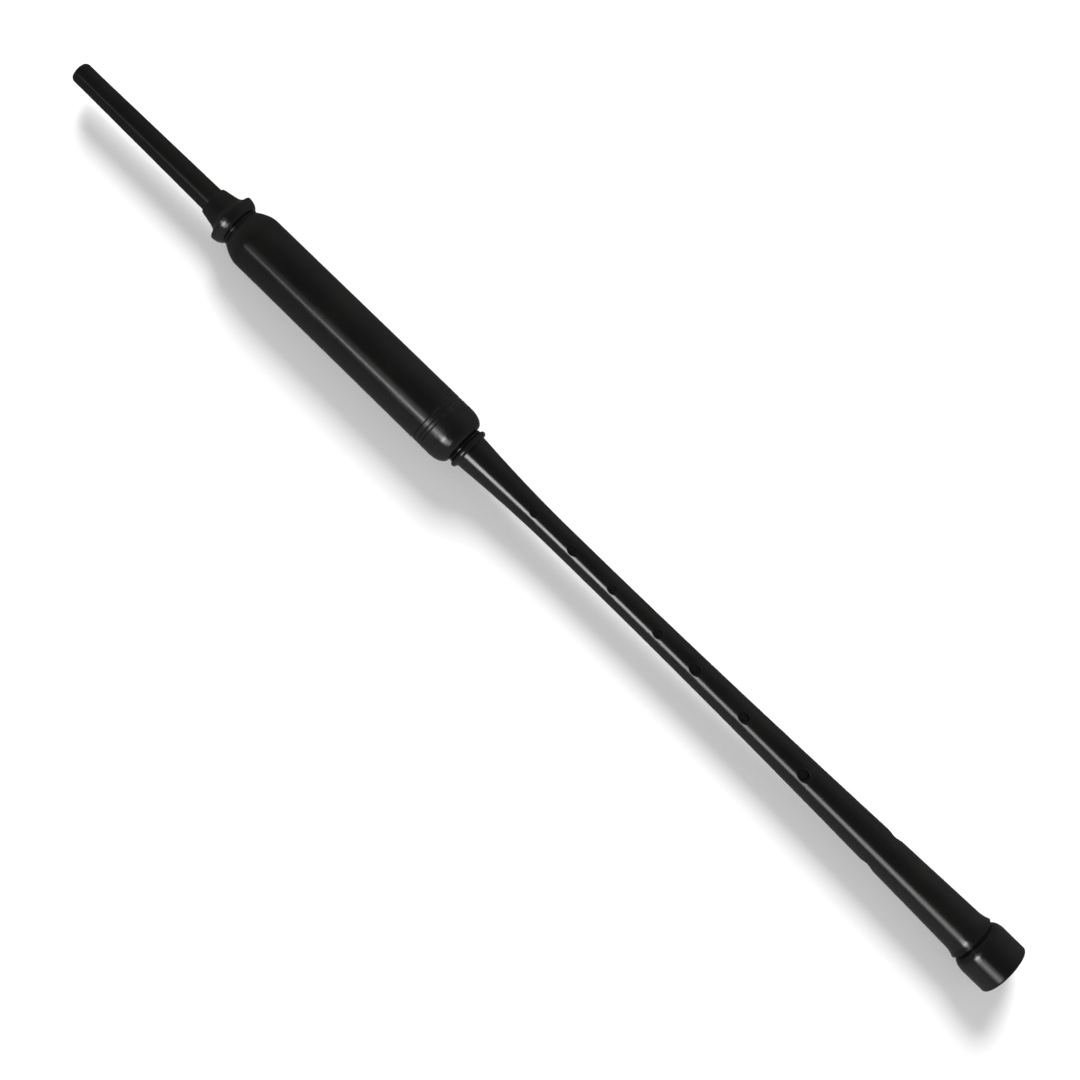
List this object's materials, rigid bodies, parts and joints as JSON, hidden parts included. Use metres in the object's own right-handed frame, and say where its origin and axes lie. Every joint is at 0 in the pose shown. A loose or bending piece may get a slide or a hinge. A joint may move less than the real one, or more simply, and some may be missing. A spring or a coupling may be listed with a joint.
{
  "type": "bagpipe practice chanter",
  "caption": "Black turned practice chanter with dished finger holes, a flared sole, a pull-off top section over a plastic reed, and a plug-in mouthpiece.",
  "frame": {"origin": "centre of the opening in the sole's flat end", "axes": "+X along the bore towards the mouthpiece, +Z out of the finger holes"},
  "size_m": [0.508, 0.0244, 0.0244],
  "materials": {
    "black_plastic": "satin, machine turned",
    "waxed_hemp": "waxed",
    "reed_body_plastic": "moulded",
    "reed_blade_plastic": "satin",
    "binding_thread": "waxed",
    "bridle_rubber": "matte"
  },
  "bodies": {
    "chanter": {"chanter_body": "black_plastic", "sole": "black_plastic"},
    "tenon_winding": {"tenon_hemp": "waxed_hemp"},
    "top_section": {"reed_chamber": "black_plastic", "projecting_mount": "black_plastic"},
    "mouthpiece_winding": {"mouthpiece_hemp": "waxed_hemp"},
    "mouthpiece": {"mouthpiece": "black_plastic"},
    "reed": {"reed_body": "reed_body_plastic", "reed_seat_hemp": "waxed_hemp", "reed_blade_front": "reed_blade_plastic", "reed_blade_back": "reed_blade_plastic", "reed_binding": "binding_thread", "reed_bridle": "bridle_rubber"}
  },
  "joints": [
    {"name": "top_twist", "type": "hinge", "parent": "chanter", "child": "tenon_winding", "pos_m": [0.307, 0, 0], "axis": [1, 0, 0], "continuous": true},
    {"name": "top_pull", "type": "slide", "parent": "tenon_winding", "child": "top_section", "axis": [1, 0, 0], "range_m": [0, 0.075]},
    {"name": "mouthpiece_pull", "type": "slide", "parent": "top_section", "child": "mouthpiece_winding", "axis": [1, 0, 0], "range_m": [0, 0.026]},
    {"name": "mouthpiece_twist", "type": "hinge", "parent": "mouthpiece_winding", "child": "mouthpiece", "pos_m": [0.423, 0, 0], "axis": [1, 0, 0], "continuous": true},
    {"name": "reed_pull", "type": "slide", "parent": "chanter", "child": "reed", "axis": [1, 0, 0], "range_m": [0, 0.01]}
  ]
}
